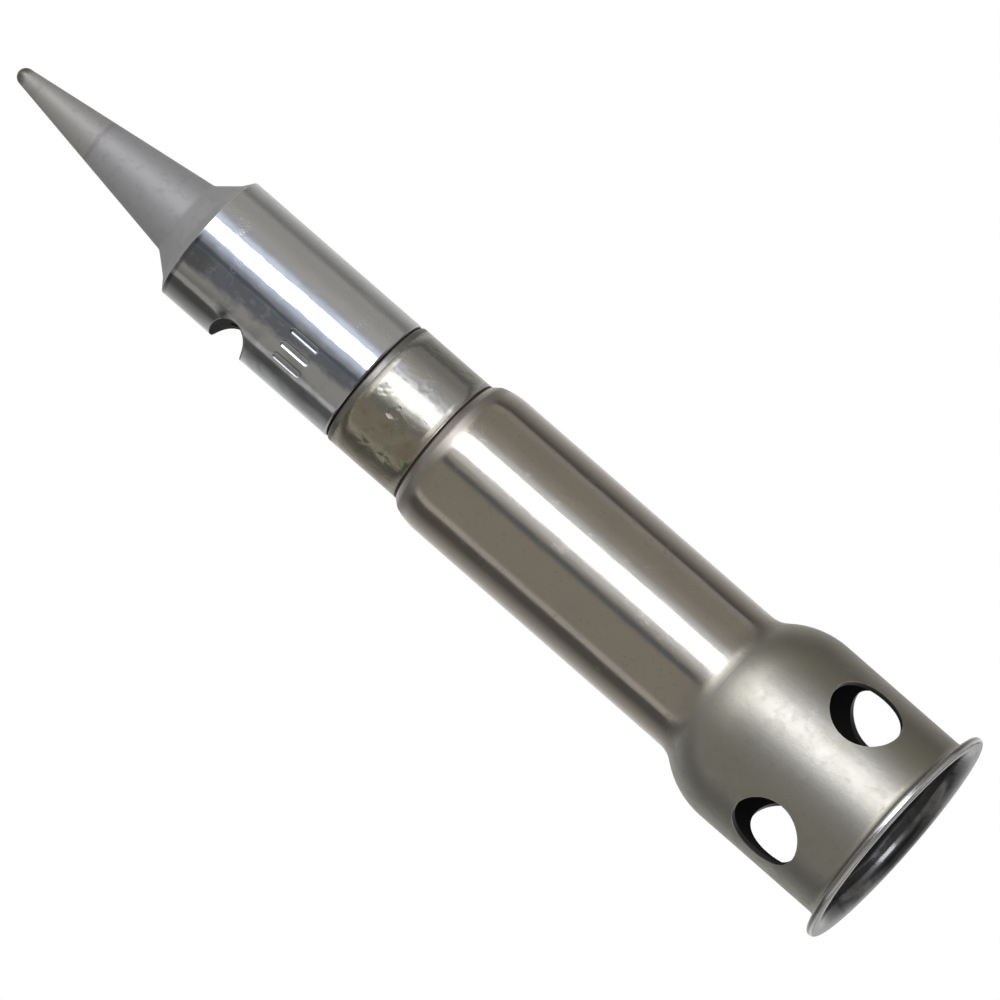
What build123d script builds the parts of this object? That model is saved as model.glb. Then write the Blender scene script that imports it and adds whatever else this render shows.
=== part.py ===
"""Soldering bit and drawn steel shank of a gas-fired catalytic iron, in millimetres.

The axis is Z. The tip stands on its flange, so Z = 0 is the flange's base face and the point is
up. The exhaust notch is on the -X side and runs along Y; the pressed bars face -Y.
"""
from build123d import *
from math import cos, hypot, radians, sin, sqrt, tan
import os

# Bit, outside.
POINT_Z = 60.10
POINT_RADIUS = 0.47
CONE_HALF_ANGLE = 8.64
SHOULDER_TOP_Z = 48.55
SHOULDER_TOP_RADIUS = 2.157
SHOULDER_TOP_FILLET = 0.50
SHOULDER_MID_Z = 47.42
SHOULDER_MID_RADIUS = 3.12
SHOULDER_MID_FILLET = 1.00
BARREL_FRONT_Z = 47.00
BARREL_RADIUS = 3.69
BARREL_FRONT_EDGE = 0.06
BARREL_REAR_Z = 35.70
BARREL_REAR_EDGE = 0.20

# Bit, spigot and chamber.
SPIGOT_REAR_Z = 31.60
SPIGOT_EDGE = 0.10
CHAMBER_RADIUS = 2.75
CHAMBER_LEAD_IN = 0.15
CATALYST_STOP_Z = 41.40
EXHAUST_SPACE_RADIUS = 2.62
EXHAUST_SPACE_END_Z = 44.30
DRILL_POINT_ANGLE = 118.0

# Exhaust notch, a round cut milled straight across the barrel into the chamber.
NOTCH_Z = 42.70
NOTCH_RADIUS = 1.03
NOTCH_FLOOR_RADIUS = 2.44

# Three plain bars pressed into the barrel with a round-nosed tool.
BAR_ANGLES = (12.0, 25.0, 38.0)
BAR_Z = 39.30
BAR_LENGTH = 1.90
BAR_TOOL_RADIUS = 0.32
BAR_DEPTH = 0.11

# Shank, drawn from one sheet: neck, shoulder, tube and bell.
WALL = 0.30
NECK_RADIUS = 3.74
NECK_FRONT_EDGE = 0.20
SHANK_SHOULDER_Z = 30.95
SHANK_SHOULDER_ANGLE = 38.8
SHANK_SHOULDER_CREASE = 0.18
SHANK_SHOULDER_RISE = 0.34
SHANK_SHOULDER_FILLET = 0.40
TUBE_LEAD_ANGLE = 19.0
TUBE_LEAD_FILLET = 4.10
TUBE_RADIUS = 4.33
BELL_RADIUS = 5.70
BELL_COVE_Z = 11.86
BELL_SLOPE_ANGLE = 38.0
BELL_COVE_FILLET = 1.50
BELL_ROUND_FILLET = 4.80

# Flange, upset thicker than the wall, with a rounded rim and a flared mouth.
FLANGE_WIDTH = 0.93
FLANGE_THICKNESS = 0.42
FLANGE_FILLET = 0.55
FLANGE_RIM_EDGE = 0.19
MOUTH_FLARE = 0.75

# Air holes in the bell, evenly spaced; the first lies near the +X +Y diagonal.
AIR_HOLE_COUNT = 4
AIR_HOLE_DIAMETER = 4.00
AIR_HOLE_Z = 4.93
AIR_HOLE_FIRST_ANGLE = 42.2

# Catalyst, with a hexagon of straight channels.
CATALYST_FIT = 0.02
CATALYST_REAR_Z = 33.20
CHANNEL_DIAMETER = 0.62
CHANNEL_PITCH = 1.02
CHANNEL_RINGS = 2

# Inlet gauze and the ring that holds it.
GAUZE_THICKNESS = 0.25
GAUZE_OPENING = 0.50
GAUZE_PITCH = 0.85
GAUZE_RINGS = 2
RING_LENGTH = 0.60
RING_WIDTH = 0.50

# The spigot meets the neck metal to metal.
SPIGOT_FIT = 0.0

# A cutter is this many times as long as what it cuts, and a fillet takes no more of a side.
OVERRUN = 2.0
FILLET_SHARE = 0.98


def unit(x, y):
    """The same direction with length 1."""
    return x / hypot(x, y), y / hypot(x, y)


def corner_reach(before, point, after):
    """How far along its two sides the rounding of one (radius, z, corner radius) point goes."""
    back = unit(before[0] - point[0], before[1] - point[1])
    ahead = unit(after[0] - point[0], after[1] - point[1])
    cosine = back[0] * ahead[0] + back[1] * ahead[1]
    return point[2] * sqrt((1 + cosine) / (1 - cosine))


def fitted_corners(points):
    """The points with each corner radius made smaller where a side is too short for it."""
    total = len(points)
    reaches = [
        corner_reach(points[index - 1], points[index], points[(index + 1) % total])
        for index in range(total)
    ]
    shares = [1.0] * total
    for index in range(total):
        following = (index + 1) % total
        side = hypot(points[following][0] - points[index][0], points[following][1] - points[index][1])
        wanted = reaches[index] + reaches[following]
        if wanted > FILLET_SHARE * side:
            shares[index] = min(shares[index], FILLET_SHARE * side / wanted)
            shares[following] = min(shares[following], FILLET_SHARE * side / wanted)
    return [(radius, z, corner * share) for (radius, z, corner), share in zip(points, shares)]


def corner_arc(before, point, after):
    """Start, middle and end of the arc that rounds one point; no middle at a sharp corner."""
    radius, z, corner = point
    if corner == 0:
        return (radius, z), None, (radius, z)
    back = unit(before[0] - radius, before[1] - z)
    ahead = unit(after[0] - radius, after[1] - z)
    reach = corner_reach(before, point, after)
    inset = hypot(reach, corner) - corner
    middle = unit(back[0] + ahead[0], back[1] + ahead[1])
    return (
        (radius + back[0] * reach, z + back[1] * reach),
        (radius + middle[0] * inset, z + middle[1] * inset),
        (radius + ahead[0] * reach, z + ahead[1] * reach),
    )


def rounded_section(points):
    """Face in the XZ plane from (radius, z, corner radius) points, read in order and closed."""
    total = len(points)
    fitted = fitted_corners(points)
    arcs = [
        corner_arc(fitted[index - 1], fitted[index], fitted[(index + 1) % total])
        for index in range(total)
    ]
    edges = []
    for index, (start, middle, end) in enumerate(arcs):
        if middle is not None:
            edges.append(Edge.make_three_point_arc(
                (start[0], 0, start[1]), (middle[0], 0, middle[1]), (end[0], 0, end[1])))
        following = arcs[(index + 1) % total][0]
        edges.append(Edge.make_line((end[0], 0, end[1]), (following[0], 0, following[1])))
    return Face(Wire(edges))


def shifted_path(points, distance):
    """The same open path moved sideways by one wall, with its bends kept concentric."""
    moved = []
    for index, (radius, z, corner) in enumerate(points):
        sides = []
        if index > 0:
            sides.append((radius - points[index - 1][0], z - points[index - 1][1]))
        if index < len(points) - 1:
            sides.append((points[index + 1][0] - radius, points[index + 1][1] - z))
        normals = [unit(y, -x) for x, y in sides]
        push = normals[0]
        bend = 0.0
        if len(sides) == 2:
            first, second = normals
            share = 1 + first[0] * second[0] + first[1] * second[1]
            push = ((first[0] + second[0]) / share, (first[1] + second[1]) / share)
            bend = sides[0][0] * sides[1][1] - sides[0][1] * sides[1][0]
        turn = 1 if bend > 0 else -1
        rounding = max(corner + turn * distance, 0) if corner else 0
        moved.append((radius + push[0] * distance, z + push[1] * distance, rounding))
    return moved


def turned(section):
    """Solid of revolution about Z."""
    return revolve(section, Axis.Z, 360)


def rounded_point(edge_radius, edge_z):
    """The ball end of the point, down to where it meets the cone."""
    ball_z = POINT_Z - POINT_RADIUS
    halfway = radians((90 + CONE_HALF_ANGLE) / 2)
    arc = Edge.make_three_point_arc(
        (0, 0, POINT_Z),
        (POINT_RADIUS * cos(halfway), 0, ball_z + POINT_RADIUS * sin(halfway)),
        (edge_radius, 0, edge_z),
    )
    base = Edge.make_line((edge_radius, 0, edge_z), (0, 0, edge_z))
    axis = Edge.make_line((0, 0, edge_z), (0, 0, POINT_Z))
    return turned(Face(Wire([arc, base, axis])))


def pressed_bars():
    """The tool's shape at each bar: a short rod with ball ends, sunk a little in the barrel."""
    centre = BARREL_RADIUS + BAR_TOOL_RADIUS - BAR_DEPTH
    width = 2 * sqrt(BAR_TOOL_RADIUS ** 2 - (BAR_TOOL_RADIUS - BAR_DEPTH) ** 2)
    straight = BAR_LENGTH - width
    bars = Part()
    for angle in BAR_ANGLES:
        place = Rot(0, 0, -90 - angle) * Pos(centre, 0, BAR_Z)
        bars += place * Cylinder(BAR_TOOL_RADIUS, straight)
        for end in (-1, 1):
            bars += place * Pos(0, 0, end * straight / 2) * Sphere(BAR_TOOL_RADIUS)
    return bars


def make_soldering_bit():
    """Cone, shoulder, barrel, spigot and blind chamber turned in one piece, then its cuts."""
    cone = radians(CONE_HALF_ANGLE)
    edge_radius = POINT_RADIUS * cos(cone)
    edge_z = POINT_Z - POINT_RADIUS + POINT_RADIUS * sin(cone)
    spigot_radius = NECK_RADIUS - WALL - SPIGOT_FIT
    drill_rise = EXHAUST_SPACE_RADIUS / tan(radians(DRILL_POINT_ANGLE / 2))
    body = turned(rounded_section([
        (0, edge_z, 0),
        (edge_radius, edge_z, 0),
        (SHOULDER_TOP_RADIUS, SHOULDER_TOP_Z, SHOULDER_TOP_FILLET),
        (SHOULDER_MID_RADIUS, SHOULDER_MID_Z, SHOULDER_MID_FILLET),
        (BARREL_RADIUS, BARREL_FRONT_Z, BARREL_FRONT_EDGE),
        (BARREL_RADIUS, BARREL_REAR_Z, BARREL_REAR_EDGE),
        (spigot_radius, BARREL_REAR_Z, 0),
        (spigot_radius, SPIGOT_REAR_Z, SPIGOT_EDGE),
        (CHAMBER_RADIUS + CHAMBER_LEAD_IN, SPIGOT_REAR_Z, 0),
        (CHAMBER_RADIUS, SPIGOT_REAR_Z + CHAMBER_LEAD_IN, 0),
        (CHAMBER_RADIUS, CATALYST_STOP_Z, 0),
        (EXHAUST_SPACE_RADIUS, CATALYST_STOP_Z, 0),
        (EXHAUST_SPACE_RADIUS, EXHAUST_SPACE_END_Z, 0),
        (0, EXHAUST_SPACE_END_Z + drill_rise, 0),
    ]))
    mill = Rot(90, 0, 0) * Cylinder(NOTCH_RADIUS, OVERRUN * 2 * BARREL_RADIUS)
    notch = Pos(-(NOTCH_FLOOR_RADIUS + NOTCH_RADIUS), 0, NOTCH_Z) * mill
    return body + rounded_point(edge_radius, edge_z) - notch - pressed_bars()


def make_barrel_tube():
    """Neck, shoulder, tube, bell and flange drawn from one sheet, then the air holes."""
    shoulder_radius = NECK_RADIUS + SHANK_SHOULDER_RISE
    shoulder_end_z = SHANK_SHOULDER_Z - SHANK_SHOULDER_RISE / tan(radians(SHANK_SHOULDER_ANGLE))
    lead_run = (TUBE_RADIUS - shoulder_radius) / tan(radians(TUBE_LEAD_ANGLE))
    bell_run = (BELL_RADIUS - TUBE_RADIUS) / tan(radians(BELL_SLOPE_ANGLE))
    flange_radius = BELL_RADIUS + FLANGE_WIDTH
    outer_path = [
        (NECK_RADIUS, BARREL_REAR_Z, 0),
        (NECK_RADIUS, SHANK_SHOULDER_Z, SHANK_SHOULDER_CREASE),
        (shoulder_radius, shoulder_end_z, SHANK_SHOULDER_FILLET),
        (TUBE_RADIUS, shoulder_end_z - lead_run, TUBE_LEAD_FILLET),
        (TUBE_RADIUS, BELL_COVE_Z, BELL_COVE_FILLET),
        (BELL_RADIUS, BELL_COVE_Z - bell_run, BELL_ROUND_FILLET),
        (BELL_RADIUS, FLANGE_THICKNESS, 0),
    ]
    inner_path = shifted_path(outer_path, WALL)
    outline = [(NECK_RADIUS, BARREL_REAR_Z, NECK_FRONT_EDGE)] + outer_path[1:-1]
    outline += [
        (BELL_RADIUS, FLANGE_THICKNESS, FLANGE_FILLET),
        (flange_radius, FLANGE_THICKNESS, FLANGE_RIM_EDGE),
        (flange_radius, 0, FLANGE_RIM_EDGE),
        (BELL_RADIUS - WALL, 0, MOUTH_FLARE),
    ]
    outline += list(reversed(inner_path[:-1]))
    tube = turned(rounded_section(outline))
    for number in range(AIR_HOLE_COUNT):
        turn = AIR_HOLE_FIRST_ANGLE + number * 360 / AIR_HOLE_COUNT
        place = Rot(0, 0, turn) * Pos(BELL_RADIUS, 0, AIR_HOLE_Z) * Rot(0, 90, 0)
        tube -= place * Cylinder(AIR_HOLE_DIAMETER / 2, BELL_RADIUS)
    return tube


def make_catalyst():
    """A round block with straight channels, resting on the step in the chamber."""
    length = CATALYST_STOP_Z - CATALYST_REAR_Z
    middle = (CATALYST_STOP_Z + CATALYST_REAR_Z) / 2
    block = Pos(0, 0, middle) * Cylinder(CHAMBER_RADIUS - CATALYST_FIT, length)
    for row in range(-CHANNEL_RINGS, CHANNEL_RINGS + 1):
        for column in range(-CHANNEL_RINGS, CHANNEL_RINGS + 1):
            if abs(row + column) > CHANNEL_RINGS:
                continue
            x = CHANNEL_PITCH * (column + row / 2)
            y = CHANNEL_PITCH * row * sqrt(3) / 2
            block -= Pos(x, y, middle) * Cylinder(CHANNEL_DIAMETER / 2, OVERRUN * length)
    return block


def make_inlet_gauze():
    """A disc with square openings under the catalyst; the four corner openings are left out."""
    middle = CATALYST_REAR_Z - GAUZE_THICKNESS / 2
    disc = Pos(0, 0, middle) * Cylinder(CHAMBER_RADIUS - CATALYST_FIT, GAUZE_THICKNESS)
    for column in range(-GAUZE_RINGS, GAUZE_RINGS + 1):
        for row in range(-GAUZE_RINGS, GAUZE_RINGS + 1):
            if abs(column) == GAUZE_RINGS and abs(row) == GAUZE_RINGS:
                continue
            opening = Box(GAUZE_OPENING, GAUZE_OPENING, OVERRUN * GAUZE_THICKNESS)
            disc -= Pos(column * GAUZE_PITCH, row * GAUZE_PITCH, middle) * opening
    return disc


def make_retaining_ring():
    """A plain ring pressed into the chamber behind the gauze."""
    middle = CATALYST_REAR_Z - GAUZE_THICKNESS - RING_LENGTH / 2
    bore = Cylinder(CHAMBER_RADIUS - RING_WIDTH, OVERRUN * RING_LENGTH)
    return Pos(0, 0, middle) * (Cylinder(CHAMBER_RADIUS, RING_LENGTH) - bore)


soldering_bit = make_soldering_bit()
barrel_tube = make_barrel_tube()
catalyst = make_catalyst()
inlet_gauze = make_inlet_gauze()
retaining_ring = make_retaining_ring()

os.makedirs("parts", exist_ok=True)
export_step(soldering_bit, "parts/soldering_bit.step")
export_step(barrel_tube, "parts/barrel_tube.step")
export_step(catalyst, "parts/catalyst.step")
export_step(inlet_gauze, "parts/inlet_gauze.step")
export_step(retaining_ring, "parts/retaining_ring.step")

for name, piece in (
    ("soldering_bit", soldering_bit),
    ("barrel_tube", barrel_tube),
    ("catalyst", catalyst),
    ("inlet_gauze", inlet_gauze),
    ("retaining_ring", retaining_ring),
):
    box = piece.bounding_box()
    print(name, "volume", round(piece.volume, 2), "solids", len(piece.solids()),
          "z", round(box.min.Z, 3), round(box.max.Z, 3), "r", round(box.max.X, 3))
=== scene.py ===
# %% [markdown]
# A soldering tip for a gas iron, seen from a little below its flange.
#
# Everything on this object is metal: a plated bit with a hollow barrel, and a thin steel shank
# that was drawn to shape from one sheet. Metal has hardly a colour of its own. What we see is the
# room around it, bent by the form and blurred by the finish. So this lesson builds three things
# with care: the room that the metal reflects, the finish of each stretch, and the small marks of
# heat and use.

from math import atan2, cos, degrees, pi, radians, sin

import bpy
from mathutils import Matrix, Vector


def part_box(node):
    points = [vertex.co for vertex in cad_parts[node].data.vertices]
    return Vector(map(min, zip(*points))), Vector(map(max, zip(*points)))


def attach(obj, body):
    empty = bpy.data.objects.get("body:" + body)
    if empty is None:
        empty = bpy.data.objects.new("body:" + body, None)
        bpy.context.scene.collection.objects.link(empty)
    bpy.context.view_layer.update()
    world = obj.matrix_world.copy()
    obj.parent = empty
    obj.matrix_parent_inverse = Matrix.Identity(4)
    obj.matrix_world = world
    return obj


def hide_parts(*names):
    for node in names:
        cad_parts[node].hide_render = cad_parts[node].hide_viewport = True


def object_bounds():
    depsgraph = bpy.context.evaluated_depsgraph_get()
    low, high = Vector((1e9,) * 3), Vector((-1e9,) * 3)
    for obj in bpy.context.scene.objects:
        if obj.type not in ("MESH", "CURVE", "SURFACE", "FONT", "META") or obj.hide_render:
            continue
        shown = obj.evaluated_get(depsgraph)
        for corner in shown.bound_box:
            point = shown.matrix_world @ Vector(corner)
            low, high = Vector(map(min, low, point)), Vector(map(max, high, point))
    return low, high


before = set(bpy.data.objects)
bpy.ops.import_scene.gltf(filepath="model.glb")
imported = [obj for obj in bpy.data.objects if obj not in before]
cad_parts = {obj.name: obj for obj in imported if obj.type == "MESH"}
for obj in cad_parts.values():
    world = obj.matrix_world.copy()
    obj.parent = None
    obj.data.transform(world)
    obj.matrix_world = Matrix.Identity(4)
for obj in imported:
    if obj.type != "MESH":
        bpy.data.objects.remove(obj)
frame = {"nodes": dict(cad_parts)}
MM = 0.001
cad_low, cad_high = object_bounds()
tip_length = cad_high.z - cad_low.z
print("pieces in the model:", ", ".join(frame["nodes"]))
flange_width = cad_high.x - cad_low.x
print(f"overall length {tip_length / MM:.1f} mm, flange {flange_width / MM:.1f} mm across")

# %% [markdown]
# The camera comes first, because every later choice is judged through it. In the photograph the
# tip lies corner to corner and we look at it from about eight degrees on the flange's side. The
# lens was long, so the sides stay almost parallel. Two points fix the rest of the camera: where
# the point of the tip and the middle of the flange lie in the picture. From those we work out the
# roll, the scale and the place to aim at.

# %% Camera from two points of the photograph
PICTURE = 1000
POINT_PIXEL = Vector((17.0, 69.2))
FLANGE_PIXEL = Vector((897.8, 839.7))
FLANGE_SIDE_DEG = 8.0
CAMERA_DISTANCE = 2.0
SENSOR_WIDTH_MM = 36

side_angle = radians(FLANGE_SIDE_DEG)
axis_in_picture = POINT_PIXEL - FLANGE_PIXEL
metres_per_pixel = tip_length * cos(side_angle) / axis_in_picture.length
roll = atan2(-axis_in_picture.y, -axis_in_picture.x)
look = Vector((0, cos(side_angle), sin(side_angle)))
level_right = Vector((1, 0, 0))
level_up = level_right.cross(look)
picture_right = level_right * sin(roll) - level_up * cos(roll)
picture_up = level_right * cos(roll) + level_up * sin(roll)

centre_shift = Vector((PICTURE / 2, PICTURE / 2)) - FLANGE_PIXEL
target = (picture_right * centre_shift.x - picture_up * centre_shift.y) * metres_per_pixel
camera_data = bpy.data.cameras.new("long_lens")
camera_data.sensor_width = SENSOR_WIDTH_MM
camera_data.lens = SENSOR_WIDTH_MM * CAMERA_DISTANCE / (PICTURE * metres_per_pixel)
camera_data.clip_start = 0.01
camera = bpy.data.objects.new("camera", camera_data)
bpy.context.collection.objects.link(camera)
camera_turn = Matrix((picture_right, picture_up, -look)).transposed()
camera.matrix_world = Matrix.Translation(target - look * CAMERA_DISTANCE) @ camera_turn.to_4x4()
bpy.context.scene.camera = camera
bpy.context.scene.view_settings.view_transform = "Standard"
print(f"roll {degrees(roll):.1f} degrees, {metres_per_pixel / MM:.4f} mm per pixel")
print(f"lens {camera_data.lens:.0f} mm")

# %% [markdown]
# Shader trees are long when every node is placed by hand. Small helpers keep them short: one adds
# a node and fills its inputs with numbers or with links from other nodes, some do a piece of
# arithmetic, and some mix values or colours. With these a material reads almost like a sentence.

# %% Helpers for shader trees
def place(tree, kind, settings=None, **inputs):
    """Adds a node. An input named like a_b fills the socket 'A B'; a socket value is linked."""
    node = tree.nodes.new(kind)
    for name, value in (settings or {}).items():
        setattr(node, name, value)
    for name, value in inputs.items():
        wanted = name.replace("_", " ").lower()
        socket = next(s for s in node.inputs if s.name.lower() == wanted and s.enabled)
        connect(tree, value, socket)
    return node


def connect(tree, value, socket):
    """Links an output to a socket, or writes a plain value into it."""
    if isinstance(value, bpy.types.NodeSocket):
        tree.links.new(value, socket)
    else:
        socket.default_value = value


def calc(tree, operation, *values, clamp=False):
    """One Math node; returns its output."""
    node = tree.nodes.new("ShaderNodeMath")
    node.operation = operation
    node.use_clamp = clamp
    for socket, value in zip(node.inputs, values):
        connect(tree, value, socket)
    return node.outputs[0]


def fade(tree, value, start, end, low=0.0, high=1.0, smooth=True):
    """Goes from low to high while value goes from start to end."""
    node = place(tree, "ShaderNodeMapRange", {
        "interpolation_type": "SMOOTHSTEP" if smooth else "LINEAR"}, value=value)
    for socket, number in zip(node.inputs[1:5], (start, end, low, high)):
        connect(tree, number, socket)
    return node.outputs[0]


def window(tree, value, low, high, soft_low, soft_high=None):
    """1 while value lies between low and high and 0 outside, with a softness at each end."""
    soft_high = soft_low if soft_high is None else soft_high
    enters = fade(tree, value, low - soft_low, low + soft_low)
    leaves = fade(tree, value, high - soft_high, high + soft_high, 1.0, 0.0)
    return calc(tree, "MULTIPLY", enters, leaves)


def times(tree, first, *others):
    """Multiplies masks and numbers."""
    for other in others:
        first = calc(tree, "MULTIPLY", first, other)
    return first


def total(tree, *shares):
    """Adds (value, factor) pairs into one value."""
    result = None
    for value, factor in shares:
        part = calc(tree, "MULTIPLY", value, factor)
        result = part if result is None else calc(tree, "ADD", result, part)
    return result


def mix(tree, share, first, second):
    """Mixes two values by a share from 0 to 1."""
    return place(tree, "ShaderNodeMix", {"data_type": "FLOAT"}, factor=share, a=first, b=second).outputs[0]


def blend(tree, share, first, second):
    """Mixes two colours by a share from 0 to 1."""
    node = tree.nodes.new("ShaderNodeMix")
    node.data_type = "RGBA"
    for name, value in (("Factor_Float", share), ("A_Color", first), ("B_Color", second)):
        socket = next(s for s in node.inputs if s.identifier == name)
        connect(tree, value, socket)
    return next(s for s in node.outputs if s.identifier == "Result_Color")


def coat(tree, base, mask, colour, share=1.0):
    """Lays a colour over another where the mask is 1, as thick as share says."""
    return blend(tree, mask if share == 1.0 else times(tree, mask, share), base, colour)


def grey(level, warm=0.0):
    """An almost neutral colour; warm above 0 takes a little blue out."""
    return (level * (1 + warm / 2), level, level * (1 - warm), 1)


print("shader helpers ready")

# %% [markdown]
# The room. A polished round bar seen from the side shows the whole room squeezed into narrow
# strips, from what stands beside the camera in its middle to what stands behind it at its edges.
# So the strips on the tube tell us what the room held: a tall white light a little to the right
# of the camera, grey walls, a dark card to the left of the light, a bright slit and a dark edge
# at each side, and the pale ground behind. We hang those few things in the world by the compass
# direction of a ray, as cards in a tent. The broad top of the light and the dark table below it
# are bounded in height too, so they are panels. Rays from the camera see plain white, and so do
# rays that passed through something. Rays that leave a matt surface see an even light.

# %% The cards that the metal reflects
WALL = grey(0.29, 0.07)
CEILING = grey(0.54, -0.06)
BELOW = grey(0.48)
CARDS = (
    # what it is, from and to in degrees right of the camera, softness of each edge, brightness
    # and warmth
    ("wide glow of the light", -12, 56, 5, 14, 0.42, 0.0),
    ("near glow of the light", -4, 42, 5, 6, 0.85, -0.14),
    ("dark card", -21, -12, 3, 3, 0.15, -0.20),
    ("bright slit on the left", -90, -79, 2, 3, 0.50, 0.0),
    ("bright slit on the right", 92, 103, 3, 2, 0.34, 0.0),
    ("dark edge on the left", -200, -91, 2, 3, 0.11, 0.0),
    ("dark edge on the right", 104, 200, 2, 3, 0.10, 0.0),
)
PANELS = (
    # what it is, from and to in degrees right of the camera, from and to in degrees above the
    # level, softness, brightness
    ("broad top of the light", -16, 60, 37, 68, 8, 1.6),
    ("dark table below the light", -45, 70, -80, -26, 8, 0.14),
)
CEILING_FROM_DEG = 58
CEILING_FULL_DEG = 86
BELOW_FROM_DEG = -36
BELOW_FULL_DEG = -70
GROUND_LEVEL = 0.76
GROUND_FROM_DEG = 108
GROUND_FULL_DEG = 168
EVEN_LIGHT = 0.6

world = bpy.data.worlds.new("studio")
bpy.context.scene.world = world
world.use_nodes = True
world.cycles.sampling_method = "NONE"
tree = world.node_tree
tree.nodes.clear()
direction = tree.nodes.new("ShaderNodeTexCoord").outputs["Generated"]
along = place(tree, "ShaderNodeSeparateXYZ", vector=direction).outputs
compass = calc(tree, "ARCTAN2", along["X"], times(tree, along["Y"], -1.0))
compass = times(tree, compass, degrees(1))
rise = times(tree, calc(tree, "ARCSINE", along["Z"]), degrees(1))

room = WALL
for name, start, end, soft_start, soft_end, level, warmth in CARDS:
    card = window(tree, compass, start, end, soft_start, soft_end)
    room = blend(tree, card, room, grey(level, warmth))
sideways = calc(tree, "ABSOLUTE", compass)
ground = fade(tree, sideways, GROUND_FROM_DEG, GROUND_FULL_DEG, smooth=False)
room = blend(tree, ground, room, grey(GROUND_LEVEL))
room = blend(tree, fade(tree, rise, CEILING_FROM_DEG, CEILING_FULL_DEG), room, CEILING)
room = blend(tree, fade(tree, rise, BELOW_FROM_DEG, BELOW_FULL_DEG), room, BELOW)
for name, start, end, lowest, highest, soft, level in PANELS:
    wide = window(tree, compass, start, end, soft)
    tall = window(tree, rise, lowest, highest, soft)
    room = blend(tree, times(tree, wide, tall), room, grey(level))

ray = tree.nodes.new("ShaderNodeLightPath").outputs
sees_white = calc(tree, "MAXIMUM", ray["Is Camera Ray"], ray["Is Transmission Ray"])
seen = blend(tree, ray["Is Glossy Ray"], grey(EVEN_LIGHT), room)
seen = blend(tree, sees_white, seen, grey(1.0))
background = place(tree, "ShaderNodeBackground", color=seen, strength=1.0)
place(tree, "ShaderNodeOutputWorld", surface=background.outputs[0])
print("cards hung in the room:", len(CARDS) + len(PANELS))

# %% [markdown]
# The light itself is one tall soft lamp, so that matt surfaces and the floor get a soft shadow
# from it as well. It stands a metre away, turned a little to the right of the camera, and reaches
# from well below the tip to well above it: that is why the bright band on the tube runs its whole
# length and bends round the shoulder of the bell. Its white is a touch cool, because the bands in
# the photograph are.

# %% One tall soft lamp
LAMP_RIGHT_DEG = 18.9
LAMP_RISE_DEG = 7
LAMP_DISTANCE = 1.0
LAMP_WIDTH = 0.45
LAMP_HEIGHT = 1.30
LAMP_WATTS = 5.2
LAMP_COLOUR = (0.96, 0.95, 1.0)

lamp_data = bpy.data.lights.new("soft_lamp", "AREA")
lamp_data.shape = "RECTANGLE"
lamp_data.size = LAMP_WIDTH
lamp_data.size_y = LAMP_HEIGHT
lamp_data.energy = LAMP_WATTS
lamp_data.color = LAMP_COLOUR
lamp = bpy.data.objects.new("soft_lamp", lamp_data)
bpy.context.collection.objects.link(lamp)
middle = Vector((0, 0, (cad_low.z + cad_high.z) / 2))
right_angle = radians(LAMP_RIGHT_DEG)
rise_angle = radians(LAMP_RISE_DEG)
to_lamp = Vector((sin(right_angle) * cos(rise_angle), -cos(right_angle) * cos(rise_angle), sin(rise_angle)))
lamp_right = Vector((0, 0, 1)).cross(to_lamp).normalized()
lamp_up = to_lamp.cross(lamp_right)
lamp_turn = Matrix((lamp_right, lamp_up, to_lamp)).transposed()
lamp.matrix_world = Matrix.Translation(middle + to_lamp * LAMP_DISTANCE) @ lamp_turn.to_4x4()
lamp.visible_camera = False
print(f"lamp {LAMP_WIDTH} x {LAMP_HEIGHT} m at {LAMP_DISTANCE} m")

# %% [markdown]
# The floor is a wide pale disc that fades to white before its edge, so there is no horizon line.
# Our camera looks up from a little below it, so its underside lets everything through. So does
# the whole floor for reflections and for the lamp's lower half, which the metal needs.

# %% The floor
FLOOR_RADIUS = 0.6
FLOOR_DROP = 0.05 * MM
FLOOR_COLOUR = 0.86
RIM_POINTS = 96
FADE_FROM = 0.25 * FLOOR_RADIUS
FADE_TO = 0.8 * FLOOR_RADIUS

floor_mesh = bpy.data.meshes.new("floor")
floor_level = cad_low.z - FLOOR_DROP
rim_angles = [2 * pi * step / RIM_POINTS for step in range(RIM_POINTS)]
rim = [(FLOOR_RADIUS * cos(angle), FLOOR_RADIUS * sin(angle), floor_level) for angle in rim_angles]
floor_mesh.from_pydata(rim, [], [range(RIM_POINTS)])
floor = bpy.data.objects.new("floor", floor_mesh)
bpy.context.collection.objects.link(floor)

floor_material = bpy.data.materials.new("pale_floor")
floor_material.use_nodes = True
tree = floor_material.node_tree
tree.nodes.clear()
place_on_floor = tree.nodes.new("ShaderNodeTexCoord").outputs["Object"]
length = place(tree, "ShaderNodeVectorMath", {"operation": "LENGTH"}, vector=place_on_floor)
from_middle = length.outputs["Value"]
matt = place(tree, "ShaderNodeBsdfDiffuse", color=grey(FLOOR_COLOUR))
white = place(tree, "ShaderNodeEmission", color=grey(1.0), strength=1.0)
surface = tree.nodes.new("ShaderNodeMixShader")
connect(tree, fade(tree, from_middle, FADE_FROM, FADE_TO), surface.inputs[0])
connect(tree, matt.outputs[0], surface.inputs[1])
connect(tree, white.outputs[0], surface.inputs[2])
ray = tree.nodes.new("ShaderNodeLightPath").outputs
lets_through = calc(tree, "MAXIMUM", ray["Is Glossy Ray"], ray["Is Shadow Ray"])
lets_through = calc(tree, "MAXIMUM", lets_through, ray["Is Transmission Ray"])
from_below = tree.nodes.new("ShaderNodeNewGeometry").outputs["Backfacing"]
lets_through = calc(tree, "MAXIMUM", lets_through, from_below)
see_through = tree.nodes.new("ShaderNodeBsdfTransparent")
whole = tree.nodes.new("ShaderNodeMixShader")
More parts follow.
